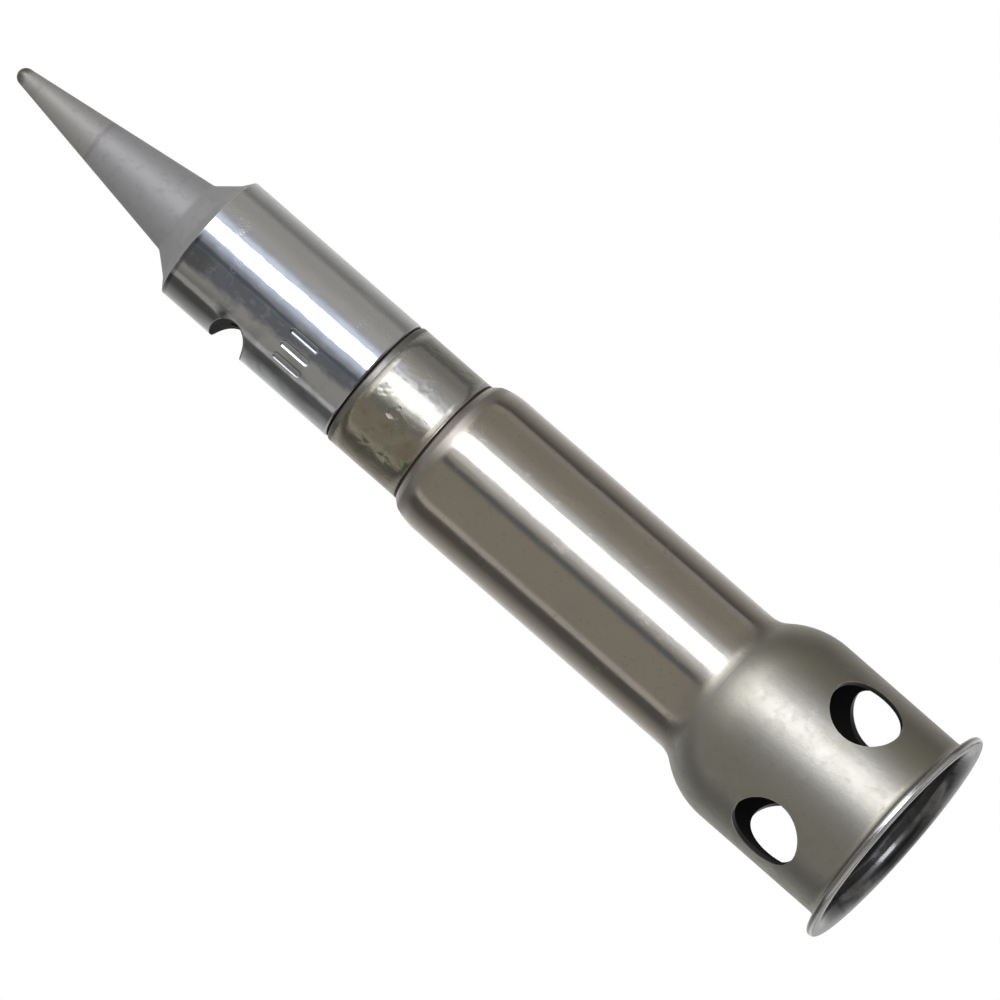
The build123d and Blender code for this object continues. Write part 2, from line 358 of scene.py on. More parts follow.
connect(tree, lets_through, whole.inputs[0])
connect(tree, surface.outputs[0], whole.inputs[1])
connect(tree, see_through.outputs[0], whole.inputs[2])
place(tree, "ShaderNodeOutputMaterial", surface=whole.outputs[0])
floor_mesh.materials.append(floor_material)
print("floor laid", FLOOR_RADIUS, "m round the tip")

# %% [markdown]
# Now the shared effects. Each is a node group with named inputs, built once and used in several
# materials with its own values. The first tells a material where on the tip it is: the point in
# millimetres, the height above the flange, the distance from the axis, the turn in degrees to the
# right of the front, and whether the surface faces the axis, which is true only of bores. The turn
# jumps at the back, from 180 to -180, so a mask made from it has to end before it gets there.

# %% Shared effect: where on the tip
def shared_effect(name, inputs, outputs):
    """An empty node group; returns the group, its input sockets and its output sockets."""
    group = bpy.data.node_groups.new(name, "ShaderNodeTree")
    for label, value in inputs.items():
        kind = "NodeSocketVector" if value is None else "NodeSocketFloat"
        socket = group.interface.new_socket(name=label, in_out="INPUT", socket_type=kind)
        if value is not None:
            socket.default_value = value
    for label in outputs:
        kind = "NodeSocketVector" if label == "Point" else "NodeSocketFloat"
        group.interface.new_socket(name=label, in_out="OUTPUT", socket_type=kind)
    return group, group.nodes.new("NodeGroupInput").outputs, group.nodes.new("NodeGroupOutput").inputs


def use(tree, group, **values):
    """Places a shared effect in a material and returns its outputs."""
    node = tree.nodes.new("ShaderNodeGroup")
    node.node_tree = group
    for name, value in values.items():
        connect(tree, value, node.inputs[name.replace("_", " ").title()])
    return node.outputs


def vector(tree, operation, first, second=None, scale=None):
    """One Vector Math node; returns the node's outputs."""
    node = tree.nodes.new("ShaderNodeVectorMath")
    node.operation = operation
    connect(tree, first, node.inputs[0])
    if second is not None:
        connect(tree, second, node.inputs[1])
    if scale is not None:
        connect(tree, scale, node.inputs["Scale"])
    return node.outputs


where_on_tip, _, result = shared_effect(
    "where_on_tip", {}, ("Point", "Height", "Radius", "Turn", "Facing Axis"))
coordinates = where_on_tip.nodes.new("ShaderNodeTexCoord").outputs
point = vector(where_on_tip, "SCALE", coordinates["Object"], scale=1 / MM)["Vector"]
parts = place(where_on_tip, "ShaderNodeSeparateXYZ", vector=point).outputs
flat = place(where_on_tip, "ShaderNodeCombineXYZ", x=parts["X"], y=parts["Y"]).outputs[0]
outward = vector(where_on_tip, "NORMALIZE", flat)["Vector"]
facing = vector(where_on_tip, "DOT_PRODUCT", outward, coordinates["Normal"])["Value"]
connect(where_on_tip, point, result["Point"])
connect(where_on_tip, parts["Z"], result["Height"])
connect(where_on_tip, vector(where_on_tip, "LENGTH", flat)["Value"], result["Radius"])
around = calc(where_on_tip, "ARCTAN2", parts["X"], times(where_on_tip, parts["Y"], -1.0))
connect(where_on_tip, times(where_on_tip, around, degrees(1)), result["Turn"])
connect(where_on_tip, fade(where_on_tip, facing, -0.1, -0.5), result["Facing Axis"])
print("shared effect:", where_on_tip.name)

# %% [markdown]
# Turning, drawing and polishing all leave fine lines. They are one noise, stretched: short around
# and long along for a drawn tube, long around and short along for a turned piece. Stretching the
# point before it reaches the noise does that, and it closes round the piece without a seam.
#
# Hands and heat leave soft patches, so the second effect is a slow noise cut to a share of the
# surface. The third finds edges, where plating rubs thin: a bevelled normal leans away from the
# true one only near an edge. The fourth is a scatter of fine scratches.

# %% Shared effects: tool lines, patches, worn edges and scratches
tool_lines, given, result = shared_effect(
    "tool_lines", {"Point": None, "Around": 1.0, "Along": 1.0}, ("Lines",))
stretch = place(tool_lines, "ShaderNodeCombineXYZ", x=given["Around"], y=given["Around"], z=given["Along"])
stretched = vector(tool_lines, "MULTIPLY", given["Point"], stretch.outputs[0])["Vector"]
noise = place(tool_lines, "ShaderNodeTexNoise", vector=stretched, scale=1.0, detail=3.0, roughness=0.6)
connect(tool_lines, noise.outputs["Fac"], result["Lines"])

patches, given, result = shared_effect(
    "patches", {"Point": None, "Size": 1.0, "Share": 0.5, "Softness": 0.1}, ("Mask", "Tone"))
close = calc(patches, "DIVIDE", 1.0, given["Size"])
shrunk = vector(patches, "SCALE", given["Point"], scale=close)["Vector"]
noise = place(patches, "ShaderNodeTexNoise", vector=shrunk, scale=1.0, detail=4.0, roughness=0.55,
              distortion=0.4).outputs["Fac"]
threshold = calc(patches, "SUBTRACT", 1.0, given["Share"])
threshold = fade(patches, threshold, 0.0, 1.0, 0.25, 0.75, smooth=False)
lowest = calc(patches, "SUBTRACT", threshold, given["Softness"])
highest = calc(patches, "ADD", threshold, given["Softness"])
connect(patches, fade(patches, noise, lowest, highest), result["Mask"])
connect(patches, noise, result["Tone"])

worn_edges, given, result = shared_effect("worn_edges", {"Point": None, "Width": 0.1}, ("Mask",))
reach = calc(worn_edges, "MULTIPLY", given["Width"], MM)
rounded = place(worn_edges, "ShaderNodeBevel", {"samples": 4}, radius=reach).outputs[0]
straight = worn_edges.nodes.new("ShaderNodeNewGeometry").outputs["Normal"]
lean = vector(worn_edges, "DOT_PRODUCT", rounded, straight)["Value"]
edge = fade(worn_edges, lean, 0.995, 0.9)
noise = place(worn_edges, "ShaderNodeTexNoise", vector=given["Point"], scale=2.5, detail=3.0)
chipped = fade(worn_edges, noise.outputs["Fac"], 0.35, 0.6)
connect(worn_edges, times(worn_edges, edge, chipped), result["Mask"])

scratches, given, result = shared_effect(
    "scratches", {"Point": None, "Length": 2.0, "Share": 0.1}, ("Mask",))
noise = place(scratches, "ShaderNodeTexNoise", vector=given["Point"], scale=0.35, detail=1.0)
shift = vector(scratches, "SCALE", noise.outputs["Color"], scale=2.0)["Vector"]
bent = vector(scratches, "ADD", given["Point"], shift)["Vector"]
turned = place(scratches, "ShaderNodeMapping", vector=bent, rotation=(0.5, 0.3, 0.8), scale=(9.0, 9.0, 1.0))
long = calc(scratches, "DIVIDE", 1.0, given["Length"])
thin = place(scratches, "ShaderNodeCombineXYZ", x=1.0, y=1.0, z=long)
fine = vector(scratches, "MULTIPLY", turned.outputs[0], thin.outputs[0])["Vector"]
hair = place(scratches, "ShaderNodeTexNoise", vector=fine, scale=1.0, detail=1.0).outputs["Fac"]
ridge = calc(scratches, "ABSOLUTE", calc(scratches, "SUBTRACT", hair, 0.5))
ridge = fade(scratches, ridge, 0.0, 0.012, 1.0, 0.0)
some = place(scratches, "ShaderNodeTexNoise", vector=given["Point"], scale=0.8, detail=2.0).outputs["Fac"]
limit = calc(scratches, "SUBTRACT", 0.75, given["Share"])
some = fade(scratches, some, limit, calc(scratches, "ADD", limit, 0.08))
connect(scratches, times(scratches, ridge, some), result["Mask"])
print("shared effects:", ", ".join(g.name for g in bpy.data.node_groups if g.type == "SHADER"))

# %% [markdown]
# A helper starts each material: it clears the node tree, adds the Principled shader and places
# the first shared effect. The others mark a side or a spot of a round piece, let an end fall away
# like a rounded corner, and turn a height in millimetres into bump. So one material can dress
# several stretches of one turned piece.

# %% Helpers for the metals
def new_metal(name):
    """A bare metal material; returns the material, its tree, its shader and its place outputs."""
    material = bpy.data.materials.new(name)
    material.use_nodes = True
    tree = material.node_tree
    tree.nodes.clear()
    shader = place(tree, "ShaderNodeBsdfPrincipled", metallic=1.0)
    place(tree, "ShaderNodeOutputMaterial", surface=shader.outputs[0])
    return material, tree, shader, use(tree, where_on_tip)


def side(tree, turn, begins, full, ends, gone):
    """1 on one side of a round piece, by four turns in degrees to the right of the front."""
    return times(tree, fade(tree, turn, begins, full), fade(tree, turn, gone, ends))


def spot_on_side(tree, point, radius, turn, level, size):
    """The mask of one spot on a round side, degrees right of the front and millimetres up."""
    middle = (radius * sin(radians(turn)), -radius * cos(radians(turn)), level)
    return use(tree, spot, point=point, middle=middle, size=size)["Mask"]


def rounded_end(tree, height, start, end, drop):
    """How far the surface falls away, in millimetres, from one height to the end at another."""
    share = fade(tree, height, start, end, smooth=False)
    return times(tree, calc(tree, "POWER", share, 2.0), drop)


def raise_surface(tree, shader, height):
    """Bump from a height in millimetres."""
    bump = place(tree, "ShaderNodeBump", height=height, distance=MM, strength=1.0)
    connect(tree, bump.outputs[0], shader.inputs["Normal"])


print("metal helpers ready")

# %% [markdown]
# One more effect marks a single spot, such as a dent or a smudge. Its value is 1 in the middle
# of the spot and 0 at its rim. Noise bends the rim, because no real dent is a neat circle.

# %% Shared effect: one spot
spot, given, result = shared_effect("spot", {"Point": None, "Middle": None, "Size": 0.3}, ("Mask",))
noise = place(spot, "ShaderNodeTexNoise", vector=given["Point"], scale=1.7, detail=1.0)
shift = vector(spot, "SUBTRACT", noise.outputs["Color"], (0.5, 0.5, 0.5))["Vector"]
bent = vector(spot, "ADD", given["Point"], shift)["Vector"]
away = vector(spot, "DISTANCE", bent, given["Middle"])["Value"]
share = calc(spot, "DIVIDE", away, given["Size"])
connect(spot, fade(spot, share, 1.0, 0.0), result["Mask"])
print("shared effect: one spot")

# %% [markdown]
# The bit is one turned piece with three looks. Its barrel is bright plated, with the faint waves
# and rubbed haze that plating shows after use. Hot gas leaves by the notch, so the barrel is not
# the same all round: dirt and one soot smudge lie by the notch itself, and the side away from it
# is rubbed. Light is painted in on top: a blue grey band in front of the notch's side is a painted
# dark reflection, the dirt deepens towards the front as a painted dark reflection, the rubbed side
# is lightened as a painted sheen, and a dark line on the front edge is painted shade. The cone and
# its shoulder are matt, because solder must not creep back over them. The front third was dipped
# and is a little yellower behind a faint ring, and the very point is dark and shiny where it works.
# Inside, soot is black; on the notch's walls, the black is painted shade. Each look is mixed in by
# height and by turn.

# %% Places and colours on the bit
BARREL_FRONT = 47.0
BARREL_REAR = 35.7
BARREL_RADIUS = 3.69
DIPPED_FROM = 54.5
WORKED_FROM = 59.6
CHAMBER_RADIUS = 2.75
CHAMBER_END = 46.2
NOTCH_AXIS = (-3.47, 0.0, 42.7)
NOTCH_RADIUS = 1.03
SMUDGE = (-43, 43.5, 0.95)      # degrees to the right of the front, height and size
# where a side begins, is full, starts to end and is gone, in degrees to the right of the front
RUBBED_SHEEN_SIDE = (18, 34, 120, 165)
DIRT_AND_DARKENING_SIDE = (-29, -39, -80, -130)
LEFT_SIDE = (2, -6, -120, -170)

PLATING = (0.70, 0.71, 0.73, 1)
HAZED = (0.60, 0.61, 0.63, 1)
# rubbed colour, lightened as a painted sheen beside the light band
RUBBED_SHEEN = (0.82, 0.81, 0.79, 1)
SCRATCHED = (0.80, 0.80, 0.80, 1)
# dirt colour; towards the barrel's front it also stands for a painted dark reflection
DIRT_AND_DARK_REFLECTION = (0.46, 0.455, 0.44, 1)
# painted reflection: a blue grey band below the light band, darker towards the front
PAINTED_DARK_REFLECTION = (0.28, 0.30, 0.36, 1)
PAINTED_DARK_REFLECTION_FRONT = (0.18, 0.188, 0.215, 1)
# painted shade: a dark line on the barrel's front edge
PAINTED_EDGE_SHADE = (0.16, 0.17, 0.20, 1)
DULL = (0.365, 0.36, 0.36, 1)
DULL_STAIN = (0.335, 0.33, 0.33, 1)
TINNED = (0.37, 0.36, 0.34, 1)
TINNED_STAIN = (0.33, 0.32, 0.30, 1)
DIPPED_RING = (0.30, 0.295, 0.285, 1)
WORKED_POINT = (0.16, 0.15, 0.135, 1)
WORN_EDGE = (0.78, 0.78, 0.77, 1)
REAR_SEAM = (0.20, 0.19, 0.18, 1)
SMUDGE_SOOT = (0.05, 0.048, 0.045, 1)
# black: soot in the hollows, and painted shade on the walls of the notch and of the air holes
SOOT_AND_SHADE = (0.022, 0.02, 0.019, 1)
print("barrel from", BARREL_REAR, "to", BARREL_FRONT, "mm above the flange's base")

# %% [markdown]
# The shared effects come first, each with sizes that suit plating: slow haze a couple of
# millimetres wide, stains of half a millimetre, lines that run round the barrel from turning, an
# even grain for the matt cone, long waves, and fine scratches.

# %% Material: plated bit, its effects
plated_bit, tree, shader, at = new_metal("plated_bit")
point, height, turn = at["Point"], at["Height"], at["Turn"]
wobble = use(tree, patches, point=point, size=0.9)["Tone"]
haze = use(tree, patches, point=point, size=1.6, share=0.45, softness=0.12)["Mask"]
stains = use(tree, patches, point=point, size=0.5, share=0.3, softness=0.1)["Mask"]
lines = use(tree, tool_lines, point=point, around=0.5, along=14.0)["Lines"]
grain = use(tree, tool_lines, point=point, around=11.0, along=11.0)["Lines"]
slow = use(tree, tool_lines, point=point, around=0.55, along=0.3)["Lines"]
hairs = use(tree, scratches, point=point, length=3.0, share=0.16)["Mask"]
edges = use(tree, worn_edges, point=point, width=0.12)["Mask"]
print("effects placed on the bit")

# %% [markdown]
# Next, a mask for each stretch and each mark. The border of the dip is bent by a slow noise,
# because a dipped line is never level. The notch is found by the distance from its own axis, and
# the chamber by the distance from the tip's axis, so the black reaches every wall of both: soot in
# the chamber, painted shade on the notch's walls.

# %% Material: plated bit, its stretches and marks
uneven = total(tree, (height, 1.0), (wobble, 0.5))
matt_part = fade(tree, height, BARREL_FRONT - 0.03, BARREL_FRONT + 0.05)
dipped = fade(tree, uneven, DIPPED_FROM + 0.2, DIPPED_FROM + 0.35)
ring = window(tree, uneven, DIPPED_FROM + 0.12, DIPPED_FROM + 0.38, 0.08)
worked = fade(tree, uneven, WORKED_FROM, WORKED_FROM + 0.5)
seam = fade(tree, height, BARREL_REAR + 0.13, BARREL_REAR + 0.05)

across_notch = vector(tree, "MULTIPLY", point, (1.0, 0.0, 1.0))["Vector"]
from_notch = vector(tree, "DISTANCE", across_notch, NOTCH_AXIS)["Value"]
cut = fade(tree, from_notch, NOTCH_RADIUS + 0.09, NOTCH_RADIUS + 0.02)
within = fade(tree, at["Radius"], CHAMBER_RADIUS + 0.3, CHAMBER_RADIUS + 0.1)
chamber = times(tree, within, calc(tree, "LESS_THAN", height, CHAMBER_END))
# black inside and on the notch's walls: soot in the chamber, painted shade on the notch's cut walls
soot_and_shade = calc(tree, "MAXIMUM", calc(tree, "MAXIMUM", at["Facing Axis"], cut), chamber)

# The painted dark reflection, a blue grey band, begins in two steps beside the light band. Its other border
# slants and is uneven.
dark_reflection_start = total(tree, (fade(tree, turn, 4.5, -0.5), 0.45), (fade(tree, turn, -9.5, -12.5), 0.45))
dark_reflection_end = calc(tree, "ADD", total(tree, (height, -0.9), (wobble, -14.0)), 21.0)
dark_reflection_end = fade(tree, turn, calc(tree, "SUBTRACT", dark_reflection_end, 5.0), calc(tree, "ADD", dark_reflection_end, 3.0))
painted_dark_reflection = times(tree, dark_reflection_start, dark_reflection_end, fade(tree, stains, 0.0, 1.0, 1.0, 0.7))
# the rubbed side is really rougher, and its colour is lightened as a painted sheen
rubbed_and_sheen = side(tree, turn, *RUBBED_SHEEN_SIDE)
# painted dark reflection: the dirt colour deepens towards the front edge; the patches behind are real dirt
front_dark_reflection = fade(tree, uneven, 43.4, 45.2, 0.2, 1.0)
dirt_and_front_darkening = calc(tree, "MAXIMUM", times(tree, haze, 0.7), front_dark_reflection)
dirty_and_darkened = times(tree, side(tree, turn, *DIRT_AND_DARKENING_SIDE), dirt_and_front_darkening)
# painted shade: a dark line on the front edge, on the notch's side
painted_edge_shade = window(tree, height, BARREL_FRONT - 0.22, BARREL_FRONT - 0.02, 0.06)
painted_edge_shade = times(tree, painted_edge_shade, side(tree, turn, *LEFT_SIDE))
smudge = spot_on_side(tree, point, BARREL_RADIUS, *SMUDGE)
print("masks made for the bit")

# %% [markdown]
# The colour is laid on like coats of paint, from the plating up to the soot and painted shade, so
# the order of the lines is the order on the metal. Solder and matt plating reflect less like a
# mirror than bright plating does, and soot is no metal at all, nor is the black painted as shade
# on the notch's walls: Metallic follows the same masks.

# %% Material: plated bit, its colour
# painted dark reflection: the blue grey band deepens towards the barrel's front
dark_reflection_colour = blend(tree, fade(tree, uneven, 45.0, 46.4), PAINTED_DARK_REFLECTION, PAINTED_DARK_REFLECTION_FRONT)
bright = blend(tree, haze, PLATING, HAZED)
bright = coat(tree, bright, rubbed_and_sheen, RUBBED_SHEEN, 0.75)
bright = coat(tree, bright, dirty_and_darkened, DIRT_AND_DARK_REFLECTION)
bright = coat(tree, bright, painted_dark_reflection, dark_reflection_colour)
bright = coat(tree, bright, smudge, SMUDGE_SOOT, 0.9)
bright = coat(tree, bright, painted_edge_shade, PAINTED_EDGE_SHADE, 0.7)
bright = coat(tree, bright, hairs, SCRATCHED)
colour = coat(tree, bright, matt_part, blend(tree, stains, DULL, DULL_STAIN))
colour = coat(tree, colour, dipped, blend(tree, stains, TINNED, TINNED_STAIN))
colour = coat(tree, colour, ring, DIPPED_RING)
colour = coat(tree, colour, worked, WORKED_POINT)
colour = coat(tree, colour, edges, WORN_EDGE, 0.4)
colour = coat(tree, colour, seam, REAR_SEAM)
colour = coat(tree, colour, soot_and_shade, SOOT_AND_SHADE)
connect(tree, colour, shader.inputs["Base Color"])
metal_share = times(tree, fade(tree, matt_part, 0.0, 1.0, 1.0, 0.58), calc(tree, "SUBTRACT", 1.0, soot_and_shade))
connect(tree, metal_share, shader.inputs["Metallic"])
print("coats laid on the bit")

# %% [markdown]
# Gloss says more about metal than its colour does. Bright plating is a mirror that waves a
# little, and every mark on it is a little rougher. The matt part scatters the light. The relief
# is given in millimetres, and only a few thousandths of one are enough.

# %% Material: plated bit, its gloss and relief
polished = total(tree, (haze, 0.035), (lines, 0.03), (hairs, 0.08), (seam, 0.3), (rubbed_and_sheen, 0.20),
                 (smudge, 0.3))
polished = calc(tree, "ADD", polished, 0.045)
matt = calc(tree, "ADD", total(tree, (grain, 0.08), (stains, 0.05)), 0.58)
rough = mix(tree, matt_part, polished, matt)
rough = calc(tree, "SUBTRACT", rough, times(tree, worked, 0.36))
rough = calc(tree, "ADD", rough, soot_and_shade, clamp=True)
connect(tree, rough, shader.inputs["Roughness"])

rear_end = rounded_end(tree, height, BARREL_REAR + 0.35, BARREL_REAR, 0.07)
waves = total(tree, (slow, 0.016), (lines, 0.0006), (hairs, -0.0008), (rear_end, -1.0))
matt_relief = total(tree, (grain, 0.006), (stains, 0.004))
raise_surface(tree, shader, mix(tree, matt_part, waves, matt_relief))
print("material:", plated_bit.name)

# %% [markdown]
# The shank was drawn from one sheet, so it is one piece with one material. Its tube is smooth,
# with the long faint lines of the drawing die. The neck next to the burner chamber has been hot:
# its steel has gone straw and olive brown, its ends are rounded, and it is dented where it was
# pressed on to the bit; beside the light band it carries a painted highlight. The slope from the
# tube up to it is dull, and its colour is darkened as painted shade. The bell at the other end is
# satin and darker on one side, and its flange rim carries a painted highlight, brightest in front,
# with painted shade in the corner above it. The walls of the air holes are painted black as shade.
# Inside, soot and oxide make it almost black too, except near the mouth, where it rubs on the
# burner nozzle; at the back of the mouth, the black is painted shade.

# %% Places and colours on the shank
NECK_FROM = 31.0
NECK_TO = 35.7
NECK_RADIUS = 3.74
BELL_TO = 12.3
BELL_RADIUS = 5.70
HOLES_FROM = 2.7
HOLES_TO = 7.2
LIP_TOP = 0.50
RIM_RADIUS = 6.3
DENTS = (
    # degrees to the right of the front, height, radius and depth in millimetres
    (-9, 33.3, 0.45, 0.060),
    (2, 34.6, 0.50, 0.020),
    (-43, 33.85, 0.50, 0.025),
    (-44, 32.3, 0.55, 0.030),
    (-41, 31.35, 0.45, 0.020),
    (24, 33.1, 0.60, 0.012),
    (58, 34.2, 0.55, 0.015),
    (64, 32.2, 0.60, 0.015),
)
# where a side begins, is full, starts to end and is gone, in degrees to the right of the front
DARK_SIDE = (24, 46, 100, 160)
PAINTED_NECK_HIGHLIGHT_SIDE = (16, 24, 32, 46)
PAINTED_RIM_FRONT_SIDE = (-7, 5, 12, 24)

TUBE_STEEL = (0.57, 0.52, 0.44, 1)
TUBE_PATCH = (0.54, 0.50, 0.43, 1)
NEAR_NECK = (0.52, 0.46, 0.36, 1)
STRAW = (0.46, 0.44, 0.34, 1)
BROWN = (0.42, 0.35, 0.28, 1)
OLIVE = (0.32, 0.335, 0.215, 1)
GREY_NECK = (0.45, 0.435, 0.39, 1)
# painted highlight: a paler band that widens the light band on the neck
NECK_SHEEN = (0.66, 0.65, 0.62, 1)
COLLAR = (0.27, 0.26, 0.235, 1)
# painted shade: the slope's colour is darkened to dim its reflection of the light
SLOPE_SHADE = (0.40, 0.375, 0.335, 1)
BELL_STEEL = (0.445, 0.43, 0.38, 1)
BELL_PATCH = (0.405, 0.392, 0.335, 1)
BELL_STAIN = (0.36, 0.34, 0.28, 1)
BELL_DARK = (0.30, 0.285, 0.215, 1)
# painted shade: a dark line in the corner above the lip
LIP_CORNER_SHADE = (0.24, 0.235, 0.22, 1)
LIP = (0.38, 0.37, 0.35, 1)
FRECKLE = (0.30, 0.26, 0.20, 1)
SCRATCHED_STEEL = (0.72, 0.70, 0.66, 1)
WORN_STEEL = (0.76, 0.74, 0.70, 1)
SEAM = (0.15, 0.13, 0.11, 1)
BARE_BORE = (0.27, 0.27, 0.265, 1)
STAINED_BORE = (0.16, 0.16, 0.16, 1)
UNDERSIDE = (0.20, 0.20, 0.197, 1)
# painted highlight on the rim's edge
PAINTED_RIM_HIGHLIGHT = (0.85, 0.84, 0.82, 1)
# painted shade at the back of the mouth
PAINTED_MOUTH_SHADE = (0.03, 0.028, 0.026, 1)
print("dents on the neck:", len(DENTS))

# %% [markdown]
# The same effects are placed again with other sizes. The tool lines now run along the tube, as
# the drawing die leaves them. The dents are one shared effect used once for each line of the
# list, and added up.

# %% Material: shank steel, its effects
shank_steel, tree, shader, at = new_metal("shank_steel")
point, height, turn = at["Point"], at["Height"], at["Turn"]
drift = use(tree, patches, point=point, size=2.2, share=0.5, softness=0.2)
stains = use(tree, patches, point=point, size=0.7, share=0.35, softness=0.12)["Mask"]
freckles = use(tree, patches, point=point, size=0.28, share=0.22, softness=0.08)["Mask"]
drawn = use(tree, tool_lines, point=point, around=6.0, along=0.12)["Lines"]
satin = use(tree, tool_lines, point=point, around=9.0, along=9.0)["Lines"]
slow = use(tree, tool_lines, point=point, around=0.5, along=0.16)["Lines"]
knocks = use(tree, tool_lines, point=point, around=0.5, along=0.45)["Lines"]
hairs = use(tree, scratches, point=point, length=4.0, share=0.14)["Mask"]
edges = use(tree, worn_edges, point=point, width=0.12)["Mask"]
dents = total(tree, *[(spot_on_side(tree, point, NECK_RADIUS, angle, level, size), deep)
                      for angle, level, size, deep in DENTS])
print("effects placed on the shank")

# %% [markdown]
# The stretches follow the drawn shape: neck, collar, crease, slope, bell and lip. The marks
# follow what happened to it: heat crept back from the chamber and soot lies in the bore. One side
# of the bell is darker. Light is painted on top: a highlight on the neck and on the rim, and shade
# on the slope, in the corner above the lip, at the back of the mouth and on the walls of the air
# holes.

# %% Material: shank steel, its stretches and marks
warped = total(tree, (height, 1.0), (drift["Tone"], 3.0))
neck = fade(tree, height, NECK_FROM - 0.1, NECK_FROM + 0.1)
near_neck = fade(tree, warped, NECK_FROM - 5.0, NECK_FROM + 2.5)
collar = fade(tree, height, NECK_TO - 0.42, NECK_TO - 0.34)
slope = window(tree, height, NECK_FROM - 1.0, NECK_FROM - 0.2, 0.3)
crease = window(tree, height, NECK_FROM - 0.12, NECK_FROM + 0.05, 0.04)
seam = calc(tree, "MAXIMUM", fade(tree, height, NECK_TO - 0.10, NECK_TO - 0.04), crease)
grey_side = fade(tree, total(tree, (turn, 1.0), (drift["Tone"], 30.0)), -10, 35)
grey_side = times(tree, grey_side, fade(tree, turn, 165, 120))
# painted highlight: a paler band beside the light band on the neck
painted_neck_highlight = side(tree, turn, *PAINTED_NECK_HIGHLIGHT_SIDE)

bell = fade(tree, height, BELL_TO + 0.7, BELL_TO - 0.9)
dark_side = side(tree, turn, *DARK_SIDE)
lip = fade(tree, height, LIP_TOP, LIP_TOP - 0.06)
# painted shade: a dark line in the corner above the lip
lip_corner_shade = window(tree, height, LIP_TOP - 0.03, LIP_TOP + 0.12, 0.04)
underside = fade(tree, height, 0.12, 0.02)
# painted highlight: a bright line round the rim's edge, wider in front like a lens of light
painted_rim_front = times(tree, side(tree, turn, *PAINTED_RIM_FRONT_SIDE), window(tree, height, 0.02, 0.40, 0.03))
painted_rim_highlight = calc(tree, "MAXIMUM", window(tree, height, 0.04, 0.17, 0.03), painted_rim_front)
painted_rim_highlight = times(tree, painted_rim_highlight, fade(tree, at["Radius"], RIM_RADIUS, RIM_RADIUS + 0.1))

soot = fade(tree, total(tree, (height, 1.0), (drift["Tone"], 0.4)), 1.2, 1.5)
# painted shade: black at the back of the mouth, on the underside and the bore near it
at_back = fade(tree, calc(tree, "ABSOLUTE", turn), 150, 168)
inner_skin = calc(tree, "MAXIMUM", underside, at["Facing Axis"])
painted_mouth_shade = times(tree, at_back, fade(tree, height, 0.55, 0.35), inner_skin)
# painted shade: the walls of the air holes are made black and not metal
cut_wall = fade(tree, at["Radius"], BELL_RADIUS - 0.02, BELL_RADIUS - 0.08)
cut_wall = times(tree, cut_wall, window(tree, height, HOLES_FROM, HOLES_TO, 0.1))
print("masks made for the shank")

# %% [markdown]
# Four colours are mixed on their own first: the hot neck, the cold bell, the bore and the plain
# tube. Then they are laid over each other like the coats on the bit, with the marks on top.

# %% Material: shank steel, its colour
hot = blend(tree, drift["Mask"], STRAW, BROWN)
hot = coat(tree, hot, stains, OLIVE)
hot = coat(tree, hot, grey_side, GREY_NECK)
hot = coat(tree, hot, painted_neck_highlight, NECK_SHEEN)
hot = coat(tree, hot, collar, COLLAR)
cold = blend(tree, drift["Mask"], BELL_STEEL, BELL_PATCH)
cold = coat(tree, cold, stains, BELL_STAIN, 0.35)
cold = coat(tree, cold, dark_side, BELL_DARK, 0.7)
cold = coat(tree, cold, lip_corner_shade, LIP_CORNER_SHADE)
cold = coat(tree, cold, lip, LIP)
bore = blend(tree, soot, blend(tree, stains, BARE_BORE, STAINED_BORE), SOOT_AND_SHADE)

steel = blend(tree, drift["Mask"], TUBE_STEEL, TUBE_PATCH)
steel = coat(tree, steel, near_neck, NEAR_NECK, 0.5)
steel = coat(tree, steel, neck, hot)
# painted shade on the slope; its rougher finish is real
steel = coat(tree, steel, slope, SLOPE_SHADE)
steel = coat(tree, steel, bell, cold)
steel = coat(tree, steel, freckles, FRECKLE, 0.25)
steel = coat(tree, steel, hairs, SCRATCHED_STEEL, 0.5)
steel = coat(tree, steel, edges, WORN_STEEL, 0.5)
steel = coat(tree, steel, seam, SEAM)
steel = coat(tree, steel, underside, UNDERSIDE)
steel = coat(tree, steel, painted_rim_highlight, PAINTED_RIM_HIGHLIGHT)
steel = coat(tree, steel, at["Facing Axis"], bore)
steel = coat(tree, steel, painted_mouth_shade, PAINTED_MOUTH_SHADE, 0.85)
steel = coat(tree, steel, cut_wall, SOOT_AND_SHADE)
connect(tree, steel, shader.inputs["Base Color"])
oxide = times(tree, at["Facing Axis"], fade(tree, soot, 0.0, 1.0, 0.4, 1.0))
oxide = calc(tree, "MAXIMUM", oxide, cut_wall)
connect(tree, calc(tree, "SUBTRACT", 1.0, oxide), shader.inputs["Metallic"])
print("coats laid on the shank")

# %% [markdown]
# The tube is smooth and the bell hazy. Handling and heat made the neck, the slope and the lip
# duller. The relief bends the reflections: long slow waves on the tube, knocks and dents on the
# neck, and the neck's two ends rounded off, one down to the bit and one up to the slope.

# %% Material: shank steel, its gloss and relief
smooth = calc(tree, "ADD", total(tree, (drawn, 0.05), (stains, 0.02), (hairs, 0.1), (freckles, 0.08)), 0.09)
hazy = calc(tree, "ADD", total(tree, (satin, 0.08), (stains, 0.05), (drift["Mask"], 0.04)), 0.32)
satin_part = times(tree, bell, calc(tree, "SUBTRACT", 1.0, lip))
duller = total(tree, (neck, 0.12), (slope, 0.27), (collar, 0.15), (seam, 0.3), (lip, 0.12))
rough = calc(tree, "ADD", mix(tree, satin_part, smooth, hazy), duller)
rough = mix(tree, at["Facing Axis"], rough, mix(tree, soot, 0.15, 0.8))
connect(tree, rough, shader.inputs["Roughness"])

